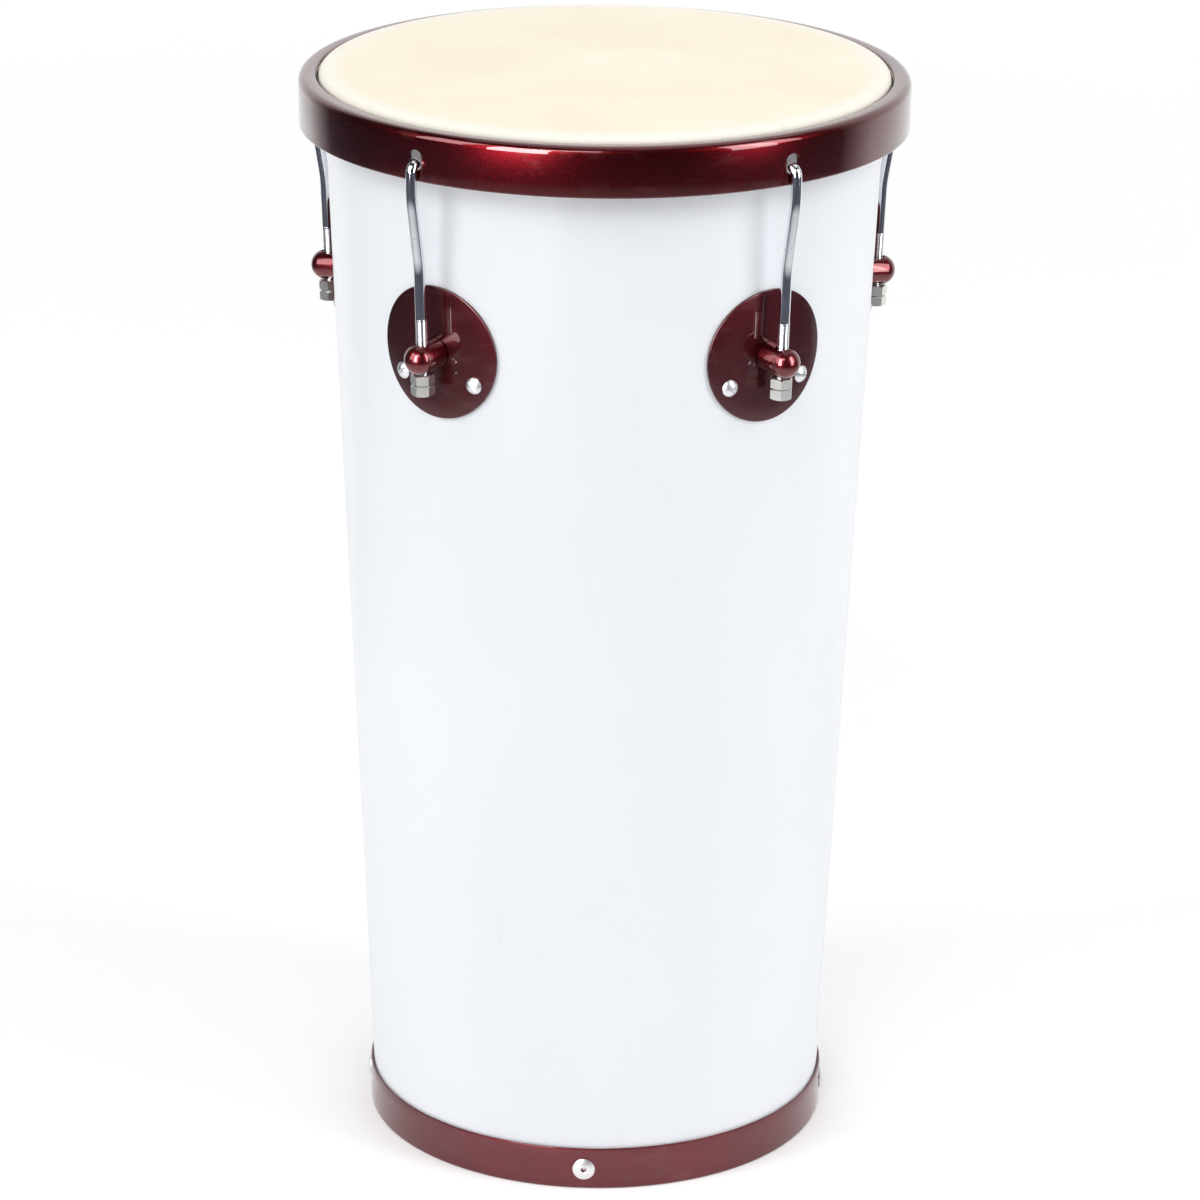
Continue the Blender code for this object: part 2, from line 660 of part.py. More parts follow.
def build():
    """Model the drum, one named object for each sub-part."""
    clear_scene()
    screw_holes, rivet_holes = wall_drills()
    make_shell(finish("shell_wood", (0.52, 0.35, 0.2), 0.0, 0.6), (screw_holes, rivet_holes))
    make_laminate(finish("white_laminate", (0.87, 0.89, 0.92), 0.0, 0.35), (screw_holes, rivet_holes))
    make_base_ring(finish("ring_paint", (0.16, 0.008, 0.012), 0.5, 0.3), rivet_holes)
    make_rivets(finish("rivet_aluminium", (0.78, 0.78, 0.79), 1.0, 0.35))
    make_skin(finish("head_skin", (0.92, 0.86, 0.7), 0.0, 0.55))
    make_flesh_hoop(finish("flesh_hoop_steel", (0.55, 0.55, 0.56), 1.0, 0.4))
    make_counter_hoop(finish("hoop_paint", (0.2, 0.008, 0.012), 0.5, 0.2))
    make_plates(finish("plate_paint", (0.2, 0.008, 0.012), 0.5, 0.2), screw_holes)
    make_posts(finish("post_paint", (0.2, 0.008, 0.012), 0.5, 0.2))
    make_rods(finish("rod_chrome", (0.8, 0.81, 0.84), 1.0, 0.08))
    make_nuts(finish("nut_nickel", (0.62, 0.61, 0.57), 1.0, 0.3))
    make_screws(finish("screw_zinc", (0.74, 0.76, 0.78), 1.0, 0.3))
    make_screw_nuts(finish("screw_nut_zinc", (0.7, 0.71, 0.72), 1.0, 0.35))


build()
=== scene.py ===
import math

import bmesh
import bpy
from mathutils import Matrix, Vector


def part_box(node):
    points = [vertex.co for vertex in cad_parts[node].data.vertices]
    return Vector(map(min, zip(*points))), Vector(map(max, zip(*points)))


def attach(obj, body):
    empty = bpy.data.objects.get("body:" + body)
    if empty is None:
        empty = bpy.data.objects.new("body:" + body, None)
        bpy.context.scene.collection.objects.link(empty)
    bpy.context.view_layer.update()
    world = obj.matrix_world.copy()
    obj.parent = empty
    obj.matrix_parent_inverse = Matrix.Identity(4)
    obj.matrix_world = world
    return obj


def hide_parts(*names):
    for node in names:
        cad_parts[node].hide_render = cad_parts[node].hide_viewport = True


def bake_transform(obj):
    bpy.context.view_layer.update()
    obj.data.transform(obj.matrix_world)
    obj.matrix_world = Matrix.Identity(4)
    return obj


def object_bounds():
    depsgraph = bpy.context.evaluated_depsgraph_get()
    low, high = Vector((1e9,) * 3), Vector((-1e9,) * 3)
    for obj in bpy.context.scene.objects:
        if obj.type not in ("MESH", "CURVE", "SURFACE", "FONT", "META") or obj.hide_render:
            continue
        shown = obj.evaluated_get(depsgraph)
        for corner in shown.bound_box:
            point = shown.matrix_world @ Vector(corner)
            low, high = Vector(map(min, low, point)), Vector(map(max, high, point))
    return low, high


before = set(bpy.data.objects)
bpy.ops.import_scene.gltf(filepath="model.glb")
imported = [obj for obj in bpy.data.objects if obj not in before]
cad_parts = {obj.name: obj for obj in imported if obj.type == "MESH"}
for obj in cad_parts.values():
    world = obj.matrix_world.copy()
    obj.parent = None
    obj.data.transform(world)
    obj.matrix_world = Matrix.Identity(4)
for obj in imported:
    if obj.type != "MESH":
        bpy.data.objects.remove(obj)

cad_low, cad_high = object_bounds()

# The drum stands on a pale studio floor and is photographed from above and in front with a
# long lens. Metres, +Z up; azimuth 0 faces the lens and grows towards +X.
PHOTO_LENS = 149.26
PHOTO_PLACE = (0.0001, -2.6008, 1.2251)
PHOTO_PITCH = math.radians(90.0 - 19.608)
PHOTO_ROLL = math.radians(0.5604)

lens = bpy.data.cameras.new("photo_lens")
lens.lens = PHOTO_LENS
lens.sensor_width = 36.0
lens.sensor_fit = "HORIZONTAL"
camera = bpy.data.objects.new("photo_camera", lens)
camera.matrix_world = (
    Matrix.Translation(PHOTO_PLACE)
    @ Matrix.Rotation(PHOTO_PITCH, 4, "X")
    @ Matrix.Rotation(PHOTO_ROLL, 4, "Z")
)
bpy.context.scene.collection.objects.link(camera)
bpy.context.scene.camera = camera
bpy.context.scene.view_settings.view_transform = "Standard"


# The shell is bent birch plywood, seven millimetres thick and wider at the head. It shows
# only inside and at the open foot, so the model's own solid keeps its shape and gets the wood.
MM = 0.001


class Signal:
    """A node's output socket that takes part in arithmetic."""

    def __init__(self, nodes, socket):
        self.nodes = nodes
        self.socket = socket

    def __add__(self, other):
        return self.nodes.maths("ADD", self, other)

    def __sub__(self, other):
        return self.nodes.maths("SUBTRACT", self, other)

    def __rsub__(self, other):
        return self.nodes.maths("SUBTRACT", other, self)

    def __mul__(self, other):
        return self.nodes.maths("MULTIPLY", self, other)

    def __truediv__(self, other):
        return self.nodes.maths("DIVIDE", self, other)

    def __rtruediv__(self, other):
        return self.nodes.maths("DIVIDE", other, self)

    def __pow__(self, other):
        return self.nodes.maths("POWER", self, other)

    def most(self, other):
        return self.nodes.maths("MAXIMUM", self, other)

    def between(self, low, high):
        """0 below low, 1 above high, and straight in between."""
        return self.nodes.maths("MULTIPLY", self - low, 1.0 / (high - low), clamped=True)

    __radd__ = __add__
    __rmul__ = __mul__


class Nodes:
    """A node tree that is put together node by node."""

    def __init__(self, tree):
        self.tree = tree

    def node(self, kind, settings=None, values=None, output=0):
        """Adds a node: its settings first, then the values or links of its sockets."""
        made = self.tree.nodes.new(kind)
        for key, value in (settings or {}).items():
            setattr(made, key, value)
        for key, value in (values or {}).items():
            if isinstance(value, Signal):
                self.tree.links.new(value.socket, made.inputs[key])
            else:
                made.inputs[key].default_value = value
        return Signal(self, made.outputs[output])

    def maths(self, operation, first, second=0.0, clamped=False):
        settings = {"operation": operation, "use_clamp": clamped}
        return self.node("ShaderNodeMath", settings, {0: first, 1: second})

    def parts(self, vector):
        """The X, Y and Z of a vector."""
        split = self.node("ShaderNodeSeparateXYZ", {}, {0: vector}).socket.node
        return [Signal(self, socket) for socket in split.outputs]


class Finish(Nodes):
    """A node material. Constants go on the shader's own sockets."""

    def __init__(self, name, constants):
        self.material = bpy.data.materials.new(name)
        self.material.use_nodes = True
        super().__init__(self.material.node_tree)
        self.shader = self.tree.nodes["Principled BSDF"]
        for socket, value in constants.items():
            self.shader.inputs[socket].default_value = value

    def place(self):
        return self.node("ShaderNodeTexCoord", output="Object")

    def noise(self, scale, detail=3.0, stretch=(1.0, 1.0, 1.0), rough=0.5):
        mapped = self.node("ShaderNodeMapping", {}, {"Vector": self.place(), "Scale": stretch})
        sizes = {"Vector": mapped, "Scale": scale, "Detail": detail, "Roughness": rough}
        return self.node("ShaderNodeTexNoise", {}, sizes)

    def cells(self, scale, output="Distance"):
        return self.node(
            "ShaderNodeTexVoronoi", {}, {"Vector": self.place(), "Scale": scale}, output
        )

    def mix(self, share, first, second):
        first, second = (
            (*colour, 1.0) if isinstance(colour, tuple) else colour
            for colour in (first, second)
        )
        settings = {"data_type": "RGBA", "clamp_factor": True}
        return self.node("ShaderNodeMix", settings, {0: share, 6: first, 7: second}, 2)

    def feed(self, **sockets):
        """Links what varies over the surface, such as Base_Color, to the shader."""
        for name, signal in sockets.items():
            self.tree.links.new(signal.socket, self.shader.inputs[name.replace("_", " ")])

    def relief(self, height, depth, strength=1.0):
        """Feeds a height from 0 to 1 to the shader's normal, depth metres high."""
        sizes = {"Height": height, "Distance": depth, "Strength": strength}
        self.feed(Normal=self.node("ShaderNodeBump", {}, sizes))


def birch_ply():
    wood = Finish("birch_ply", {"IOR": 1.45, "Specular IOR Level": 0.35})
    grain = wood.noise(90.0, 6.0, (1.0, 1.0, 0.06), 0.65)
    bands = wood.noise(11.0, 2.0, (1.0, 1.0, 0.12))
    pale = wood.mix(bands, (0.60, 0.41, 0.23), (0.72, 0.54, 0.34))
    wood.feed(
        Base_Color=wood.mix(grain.between(0.48, 0.78), pale, (0.42, 0.25, 0.12)),
        Roughness=0.5 + grain * 0.25,
    )
    wood.relief(grain, 0.15 * MM)
    return wood.material


def refinish(node, material):
    """Gives a solid of the model another material and leaves its mesh alone."""
    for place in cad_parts[node].material_slots:
        place.material = material


refinish("shell", birch_ply())


# A sheet of white laminate, 0.8 mm thick, is glued round the shell. It is semi-gloss and
# slightly uneven, with faint rub marks, and stops short of the bearing edge.
DRUM = "drum_body"
LAMINATE_FOOT = 1.8 * MM
LAMINATE_TOP = 594.8 * MM
LAMINATE_FOOT_RADIUS = 125.7 * MM
LAMINATE_SLOPE = 0.041806
LAMINATE_THICKNESS = 0.8 * MM
WALL_TILT = math.atan(LAMINATE_SLOPE)


def laminate_radius(height):
    return LAMINATE_FOOT_RADIUS + (height - LAMINATE_FOOT) * LAMINATE_SLOPE


def piece_from(name, shape, material, body, *replaced, slot=None, sharp=32.0):
    """Turns a bmesh into a shown piece that rides on a body and stands for CAD nodes."""
    bmesh.ops.remove_doubles(shape, verts=shape.verts, dist=1e-7)
    bmesh.ops.recalc_face_normals(shape, faces=shape.faces)
    mesh = bpy.data.meshes.new(name)
    shape.to_mesh(mesh)
    shape.free()
    return settle(bpy.data.objects.new(name, mesh), material, body, replaced, sharp)


def settle(piece, material, body, replaced, sharp=32.0):
    mesh = piece.data
    mesh.materials.clear()
    mesh.materials.append(material)
    mesh.shade_smooth()
    mesh.set_sharp_from_angle(angle=math.radians(sharp))
    if piece.name not in bpy.context.scene.collection.objects:
        bpy.context.scene.collection.objects.link(piece)
    if body:
        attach(piece, body)
    if replaced:
        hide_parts(*replaced)
    return piece


def arc(centre, radius, start, end, steps):
    """Points of an arc, in degrees from the first axis towards the second."""
    angles = [math.radians(start + (end - start) * step / steps) for step in range(steps + 1)]
    return [
        (centre[0] + radius * math.cos(angle), centre[1] + radius * math.sin(angle))
        for angle in angles
    ]


def turned(outline, sides, at=None):
    """A closed outline of (radius, height) points spun round the Z axis, then moved."""
    shape = bmesh.new()
    rings = []
    for side in range(sides):
        angle = 2.0 * math.pi * side / sides
        spoke = Vector((math.sin(angle), -math.cos(angle), 0.0))
        rings.append(
            [shape.verts.new(spoke * radius + Vector((0, 0, z))) for radius, z in outline]
        )
    for side in range(sides):
        near, far = rings[side], rings[(side + 1) % sides]
        for point in range(len(outline)):
            following = (point + 1) % len(outline)
            if outline[point][0] < 1e-9 and outline[following][0] < 1e-9:
                continue
            shape.faces.new((near[point], far[point], far[following], near[following]))
    bmesh.ops.remove_doubles(shape, verts=shape.verts, dist=1e-7)
    bmesh.ops.dissolve_degenerate(shape, edges=shape.edges, dist=1e-8)
    if at:
        shape.transform(at)
    return shape


def white_laminate():
    sheet = Finish("white_laminate", {"Coat Weight": 0.25, "Coat Roughness": 0.12})
    cloud = sheet.noise(7.0, 4.0)
    rubs = sheet.noise(60.0, 5.0, (1.0, 1.0, 0.18), 0.7)
    white = sheet.mix(cloud, (0.83, 0.86, 0.905), (0.885, 0.905, 0.945))
    sheet.feed(
        Base_Color=sheet.mix(rubs.between(0.60, 0.85) * 0.35, white, (0.74, 0.74, 0.74)),
        Roughness=0.30 + rubs.between(0.45, 0.8) * 0.18,
    )
    sheet.relief(sheet.noise(260.0, 2.0), 0.02 * MM)
    return sheet.material


LAMINATE_ROWS = 24
ROUND_SIDES = 256
laminate_heights = [
    LAMINATE_FOOT + (LAMINATE_TOP - LAMINATE_FOOT) * row / LAMINATE_ROWS
    for row in range(LAMINATE_ROWS + 1)
]
laminate_outline = [(laminate_radius(height), height) for height in laminate_heights]
laminate_outline += [
    (laminate_radius(height) - LAMINATE_THICKNESS, height)
    for height in reversed(laminate_heights)
]
piece_from(
    "laminate_sheet",
    turned(laminate_outline, ROUND_SIDES),
    white_laminate(),
    DRUM,
    "shell_laminate",
    slot="white_laminate",
)


# The base ring is rolled from 1.5 mm steel strip, turned in under the shell and painted in
# the same red as the hoop, but duller where it has stood on the ground.
RING_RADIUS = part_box("bottom_ring")[1].x
RING_HEIGHT = 24.2 * MM
RING_SHEET = 1.5 * MM
RING_FLANGE = 9.0 * MM
RING_BEND = 1.2 * MM


def strip(centreline, thickness, steps=4):
    """The outline of a bent strip with rounded edges, from its centreline."""
    half = thickness / 2.0
    points = [Vector((*point, 0.0)) for point in centreline]
    left, right = [], []
    for place, point in enumerate(points):
        before = points[max(place - 1, 0)]
        after = points[min(place + 1, len(points) - 1)]
        along = (after - before).normalized()
        across = Vector((-along.y, along.x, 0.0)) * half
        left.append((point + across).xy[:])
        right.append((point - across).xy[:])

    def cap(tip, inner):
        out = math.degrees(math.atan2((tip - inner).y, (tip - inner).x))
        return arc(tip.xy[:], half, out + 90.0, out - 90.0, steps)[1:-1]

    return left + cap(points[-1], points[-2]) + right[::-1] + cap(points[0], points[1])


def candy_red(name, deep, bright, dullness, flake_scale=3200.0):
    """Red metallic paint under clear lacquer: flakes catch the light one by one."""
    paint = Finish(name, {"Coat Weight": 1.0, "Coat Roughness": 0.03, "Coat IOR": 1.5})
    flakes = paint.cells(flake_scale, "Color")
    flake = paint.node("ShaderNodeSeparateColor", {}, {0: flakes}, 0)
    drift = paint.noise(22.0, 3.0)
    smear = paint.noise(45.0, 4.0, (1.0, 1.0, 2.5), 0.6)
    red = paint.mix(0.25 * flake + 0.7 * drift, deep, bright)
    dusty = smear.between(0.56, 0.80)
    paint.feed(
        Base_Color=paint.mix(dusty * 0.18, red, (0.16, 0.10, 0.10)),
        Roughness=dullness + flake * 0.10 + dusty * 0.08,
        Metallic=0.94 - 0.12 * dusty,
    )
    paint.relief(flake, 0.01 * MM, 0.3)
    return paint.material


ring_middle = RING_RADIUS - RING_SHEET / 2.0
ring_bend_middle = RING_BEND - RING_SHEET / 4.0
ring_centreline = [(RING_RADIUS - RING_FLANGE, RING_SHEET / 2.0)]
ring_centreline += arc(
    (ring_middle - ring_bend_middle, RING_SHEET / 2.0 + ring_bend_middle),
    ring_bend_middle,
    -90.0,
    0.0,
    5,
)
ring_centreline += [
    (ring_middle, RING_SHEET + (RING_HEIGHT - 1.5 * RING_SHEET) * row / 4) for row in (1, 2, 3)
]
ring_centreline += [(ring_middle, RING_HEIGHT - RING_SHEET / 2.0)]
piece_from(
    "base_ring",
    turned(strip(ring_centreline, RING_SHEET), ROUND_SIDES),
    candy_red("ring_lacquer", (0.080, 0.008, 0.012), (0.170, 0.014, 0.022), 0.38),
    DRUM,
    "bottom_ring",
    slot="ring_paint",
)


# Four aluminium blind rivets hold the ring to the shell. Each has a low domed head with an
# open mouth, where the mandrel has snapped off below the surface.
RIVET_FIRST = math.radians(-2.6)
RIVET_LEVEL = 12.1 * MM
RIVET_HEAD = 6.1 * MM
RIVET_RISE = 2.1 * MM
RIVET_MOUTH = 1.7 * MM
RIVET_MOUTH_DEPTH = 2.4 * MM
RIVET_RIM = 0.6 * MM
RIVET_STUB = 0.7 * MM
RIVET_SHANK = 2.4 * MM
RIVET_ROOT = 0.6 * MM
RIVET_SEAT = 0.02 * MM


def dull_metal(name, colour, roughness, wear=0.25, scratch=700.0):
    """Bare or plated metal with fine scratches and slightly tarnished patches."""
    metal = Finish(name, {"Metallic": 1.0})
    tarnish = metal.noise(300.0, 4.0)
    lines = metal.noise(scratch, 3.0, (1.0, 0.2, 1.0), 0.6)
    dark = tuple(channel * 0.55 for channel in colour)
    metal.feed(
        Base_Color=metal.mix(tarnish.between(0.50, 0.80) * wear * 2.0, colour, dark),
        Roughness=roughness + 0.18 * lines,
    )
    metal.relief(lines, 0.01 * MM, 0.6)
    return metal.material


class Steps(Nodes):
    """A Geometry Nodes tree under construction, with its named inputs."""

    def __init__(self, name):
        super().__init__(bpy.data.node_groups.new(name, "GeometryNodeTree"))
        self.source = self.tree.nodes.new("NodeGroupInput")
        self.values = {}

    def takes(self, name, kind, value):
        socket = self.tree.interface.new_socket(name, in_out="INPUT", socket_type=kind)
        self.values[socket.identifier] = value
        return Signal(self, self.source.outputs[socket.identifier])

    def made(self, name, geometry, material):
        """Ends the tree, runs it once and returns the plain object."""
        self.tree.interface.new_socket(
            "Geometry", in_out="OUTPUT", socket_type="NodeSocketGeometry"
        )
        ending = self.tree.nodes.new("NodeGroupOutput")
        real = self.node("GeometryNodeRealizeInstances", {}, {0: geometry})
        coloured = self.node(
            "GeometryNodeSetMaterial", {}, {"Geometry": real, "Material": material}
        )
        self.tree.links.new(coloured.socket, ending.inputs[0])
        seed = bpy.data.objects.new(name, bpy.data.meshes.new(name + "_seed"))
        bpy.context.scene.collection.objects.link(seed)
        run = seed.modifiers.new("steps", "NODES")
        run.node_group = self.tree
        for identifier, value in self.values.items():
            run[identifier] = value
        bpy.context.view_layer.update()
        live = seed.evaluated_get(bpy.context.evaluated_depsgraph_get())
        mesh = bpy.data.meshes.new_from_object(live)
        seed.modifiers.remove(run)
        bpy.data.objects.remove(seed)
        return bpy.data.objects.new(name, mesh)


def fasteners(
    name, pattern, material, groups, each, first, spread, radius, height, lean, seed
):
    """Copies of one fastener set square to the drum's wall, each turned at random."""
    tree = Steps(name + "_places")
    piece = tree.takes("Fastener", "NodeSocketObject", pattern)
    group_count = tree.takes("Groups", "NodeSocketInt", groups)
    each_count = tree.takes("In Each Group", "NodeSocketInt", each)
    first_azimuth = tree.takes("First Azimuth", "NodeSocketFloat", first)
    half_spread = tree.takes("Half Spread", "NodeSocketFloat", spread)
    ring_radius = tree.takes("Radius", "NodeSocketFloat", radius)
    level = tree.takes("Height", "NodeSocketFloat", height)
    wall_lean = tree.takes("Lean", "NodeSocketFloat", lean)
    turn_seed = tree.takes("Turn Seed", "NodeSocketInt", seed)
    number = tree.node("GeometryNodeInputIndex")
    group = tree.maths("FLOOR", number / each_count)
    side = 2.0 * tree.maths("MODULO", number, each_count) - (each_count - 1.0)
    azimuth = first_azimuth + group * (2.0 * math.pi / group_count) + side * half_spread
    x = ring_radius * tree.maths("SINE", azimuth)
    y = -1.0 * ring_radius * tree.maths("COSINE", azimuth)
    spot = tree.node("ShaderNodeCombineXYZ", {}, {0: x, 1: y, 2: level})
    points = tree.node(
        "GeometryNodePoints", {}, {"Count": group_count * each_count, "Position": spot}
    )
    turned_out = tree.node(
        "ShaderNodeCombineXYZ", {}, {0: wall_lean + math.pi / 2.0, 1: 0.0, 2: azimuth}
    )
    shape = tree.node("GeometryNodeObjectInfo", {}, {"Object": piece}, "Geometry")
    copies = tree.node(
        "GeometryNodeInstanceOnPoints",
        {},
        {"Points": points, "Instance": shape, "Rotation": turned_out},
    )
    turn = tree.node(
        "FunctionNodeRandomValue",
        {"data_type": "FLOAT"},
        {"Min": 0.0, "Max": 2.0 * math.pi, "Seed": turn_seed},
        "Value",
    )
    spin = tree.node("ShaderNodeCombineXYZ", {}, {0: 0.0, 1: 0.0, 2: turn})
    copies = tree.node(
        "GeometryNodeRotateInstances", {}, {"Instances": copies, "Rotation": spin}
    )
    made = tree.made(name, copies, material)
    bpy.data.objects.remove(pattern)
    return made


def blank(name, shape):
    """A closed mesh object in the scene, that is still to be copied or cut."""
    bmesh.ops.remove_doubles(shape, verts=shape.verts, dist=1e-7)
    bmesh.ops.recalc_face_normals(shape, faces=shape.faces)
    mesh = bpy.data.meshes.new(name)
    shape.to_mesh(mesh)
    shape.free()
    made = bpy.data.objects.new(name, mesh)
    bpy.context.scene.collection.objects.link(made)
    return made


# The head is a low dome: its ball is found from the head's half width and its rise.
rivet_cap = RIVET_RISE - RIVET_RIM
rivet_ball = (RIVET_HEAD**2 + rivet_cap**2) / (2.0 * rivet_cap)
rivet_edge = math.degrees(math.acos(RIVET_HEAD / rivet_ball))
rivet_lip = math.degrees(math.acos(RIVET_MOUTH / rivet_ball))
rivet_floor = RIVET_RISE - RIVET_MOUTH_DEPTH
rivet_outline = [(0.0, -RIVET_ROOT), (RIVET_SHANK, -RIVET_ROOT)]
rivet_outline += [(RIVET_SHANK, RIVET_SEAT), (RIVET_HEAD, RIVET_SEAT)]
rivet_outline += arc((0.0, RIVET_RISE - rivet_ball), rivet_ball, rivet_edge, rivet_lip, 10)
rivet_outline += [
    (RIVET_MOUTH - 0.2 * MM, rivet_outline[-1][1] - 0.15 * MM),
    (RIVET_MOUTH - 0.3 * MM, rivet_floor),
    (RIVET_STUB, rivet_floor),
    (RIVET_STUB - 0.2 * MM, rivet_floor + 0.4 * MM),
    (0.0, rivet_floor + 0.5 * MM),
]
rivet_aluminium = dull_metal("rivet_aluminium", (0.78, 0.78, 0.78), 0.24)
ring_rivets = fasteners(
    "ring_rivets",
    blank("rivet_pattern", turned(rivet_outline, 48)),
    rivet_aluminium,
    groups=4,
    each=1,
    first=RIVET_FIRST,
    spread=0.0,
    radius=RING_RADIUS,
    height=RIVET_LEVEL,
    lean=0.0,
    seed=5,
)
replaced_rivets = [f"ring_rivet_{number}" for number in (1, 2, 3, 4)]
settle(ring_rivets, rivet_aluminium, DRUM, replaced_rivets)


# The head is a moulded film, cream and slightly mottled on the playing face and whiter where
# it rolls over the bearing edge. Its collar runs down and is tucked round a steel wire hoop.
HOOP = "hoop_assembly"
SKIN_TOP = cad_high.z
SKIN_THICKNESS = 1.0 * MM
SHOULDER_CENTRE = (149.0 * MM, SKIN_TOP - 4.0 * MM)
SHOULDER_MIDDLE = 3.5 * MM
FLESH_CENTRE = (157.0 * MM, 591.8 * MM)
TUCK_MIDDLE = 4.0 * MM
SKIN_COLLAR = [(152.6 * MM, 595.5 * MM), (152.8 * MM, 593.5 * MM)]
SKIN_FLAT_RINGS = 12


def drum_film():
    film = Finish("drum_film", {"IOR": 1.5, "Specular IOR Level": 0.4})
    x, y, _ = film.parts(film.place())
    radius = (x**2.0 + y**2.0) ** 0.5
    mottle = film.noise(14.0, 5.0)
    speck = film.noise(420.0, 3.0)
    cream = film.mix(mottle.between(0.3, 0.7), (0.89, 0.81, 0.63), (0.93, 0.87, 0.72))
    cream = film.mix(speck.between(0.62, 0.74) * 0.25, cream, (0.78, 0.66, 0.45))
    edge = radius.between(0.1385, 0.1475)
    smudge = film.noise(95.0, 5.0, rough=0.7).between(0.56, 0.72)
    rim = film.mix(edge * 0.75, cream, (0.92, 0.89, 0.82))
    film.feed(
        Base_Color=film.mix(smudge * edge * 0.22, rim, (0.50, 0.46, 0.42)),
        Roughness=0.42 + 0.2 * mottle,
    )
    film.relief(film.noise(520.0, 3.0), 0.03 * MM, 0.6)
    return film.material


skin_centreline = [
    (SHOULDER_CENTRE[0] * ring / SKIN_FLAT_RINGS, SKIN_TOP - SKIN_THICKNESS / 2.0)
    for ring in range(SKIN_FLAT_RINGS)
]
skin_centreline += arc(SHOULDER_CENTRE, SHOULDER_MIDDLE, 90.0, 0.0, 10)
skin_centreline += SKIN_COLLAR
skin_centreline += arc(FLESH_CENTRE, TUCK_MIDDLE, 180.0, 480.0, 28)
skin_outline = strip(skin_centreline, SKIN_THICKNESS)
# The strip's rounded start would cross the axis, so its points there are dropped.
skin_outline = [point for point in skin_outline if point[0] > -1e-9]
skin = piece_from(
    "drum_skin",
    turned(skin_outline, ROUND_SIDES),
    drum_film(),
    None,
    "head_skin",
    slot="head_skin",
)
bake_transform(skin)
refinish("flesh_hoop", dull_metal("flesh_wire", (0.55, 0.55, 0.56), 0.35))


# The counter hoop is pressed from 2 mm steel, rounded over at the top and lipped inwards over
# the flesh hoop. Five round-ended slots take the hooks, and the paint is deep candy red.
HOOP_RADIUS = 164.0 * MM
HOOP_SHEET = 2.0 * MM
HOOP_FOOT = 572.0 * MM
HOOP_TOP = 598.6 * MM
HOOP_LIP = 154.5 * MM
HOOP_CORNER_MIDDLE = 3.0 * MM
SLOT_WIDTH = 8.2 * MM
SLOT_FOOT = 577.76 * MM
SLOT_HEIGHT = 11.0 * MM
SLOT_CUT = (150.0 * MM, 175.0 * MM)
HOOP_SIDES = 320
LUG_AZIMUTHS = [math.radians(-36.0 + 72.0 * lug) for lug in range(5)]


def facing(azimuth):
    """Local +X points outwards at the azimuth, +Z up."""
    return Matrix.Rotation(azimuth - math.pi / 2.0, 4, "Z")


def cut(piece, cutter):
    """Takes a cutter out of a piece and deletes the cutter."""
    boolean = piece.modifiers.new("cut", "BOOLEAN")
    boolean.operation = "DIFFERENCE"
    boolean.solver = "EXACT"
    boolean.object = cutter
    bpy.context.view_layer.update()
    live = piece.evaluated_get(bpy.context.evaluated_depsgraph_get())
    mesh = bpy.data.meshes.new_from_object(live)
    piece.modifiers.remove(boolean)
    piece.data = mesh
    bpy.data.objects.remove(cutter)


hoop_middle = HOOP_RADIUS - HOOP_SHEET / 2.0
hoop_corner = (hoop_middle - HOOP_CORNER_MIDDLE, HOOP_TOP - HOOP_SHEET / 2 - HOOP_CORNER_MIDDLE)
hoop_centreline = [(hoop_middle, HOOP_FOOT + HOOP_SHEET / 2.0)]
hoop_centreline += arc(hoop_corner, HOOP_CORNER_MIDDLE, 0.0, 90.0, 10)
hoop_centreline += [(HOOP_LIP + HOOP_SHEET / 2.0, HOOP_TOP - HOOP_SHEET / 2.0)]
hoop_outline = strip(hoop_centreline, HOOP_SHEET, 6)
counter_hoop = blank("counter_hoop_red", turned(hoop_outline, HOOP_SIDES))

slot_cutter = bmesh.new()
slot_half = SLOT_WIDTH / 2.0
slot_outline = arc((0.0, SLOT_FOOT + slot_half), slot_half, 180.0, 360.0, 14)
slot_outline += arc((0.0, SLOT_FOOT + SLOT_HEIGHT - slot_half), slot_half, 0.0, 180.0, 14)
for azimuth in LUG_AZIMUTHS:
    at_lug = facing(azimuth)
    inner, outer = (
        [slot_cutter.verts.new(at_lug @ Vector((depth, *point))) for point in slot_outline]
        for depth in SLOT_CUT
    )
    slot_cutter.faces.new(inner)
    slot_cutter.faces.new(outer)
    for point in range(len(slot_outline)):
        following = (point + 1) % len(slot_outline)
        slot_cutter.faces.new(
            (inner[point], inner[following], outer[following], outer[point])
        )
cut(counter_hoop, blank("slot_cutter", slot_cutter))
hoop_lacquer = candy_red("hoop_lacquer", (0.050, 0.0006, 0.002), (0.135, 0.0006, 0.004), 0.22)
settle(counter_hoop, hoop_lacquer, HOOP, ["counter_hoop"])


# Each lug is a round steel plate rolled to the shell, painted dark red. Five of them stand
# evenly round the drum, well below the hoop.
LUG_LEVEL = 477.0 * MM
PLATE_RADIUS = 36.0 * MM
PLATE_BACK = 0.3 * MM
PLATE_FACE = 1.7 * MM
PLATE_EDGE = 0.45 * MM
PLATE_SIDES = 120

plate_lacquer = candy_red("plate_lacquer", (0.040, 0.005, 0.008), (0.110, 0.009, 0.014), 0.30)
plate_rings = [(PLATE_RADIUS * step / 9.0, PLATE_FACE) for step in range(8)]
plate_rings += arc(
    (PLATE_RADIUS - PLATE_EDGE, PLATE_FACE - PLATE_EDGE), PLATE_EDGE, 90.0, 0.0, 5
)
plate_rings += [(PLATE_RADIUS, PLATE_BACK + 0.1 * MM), (PLATE_RADIUS - 0.1 * MM, PLATE_BACK)]
plate_rings += [(0.0, PLATE_BACK)]


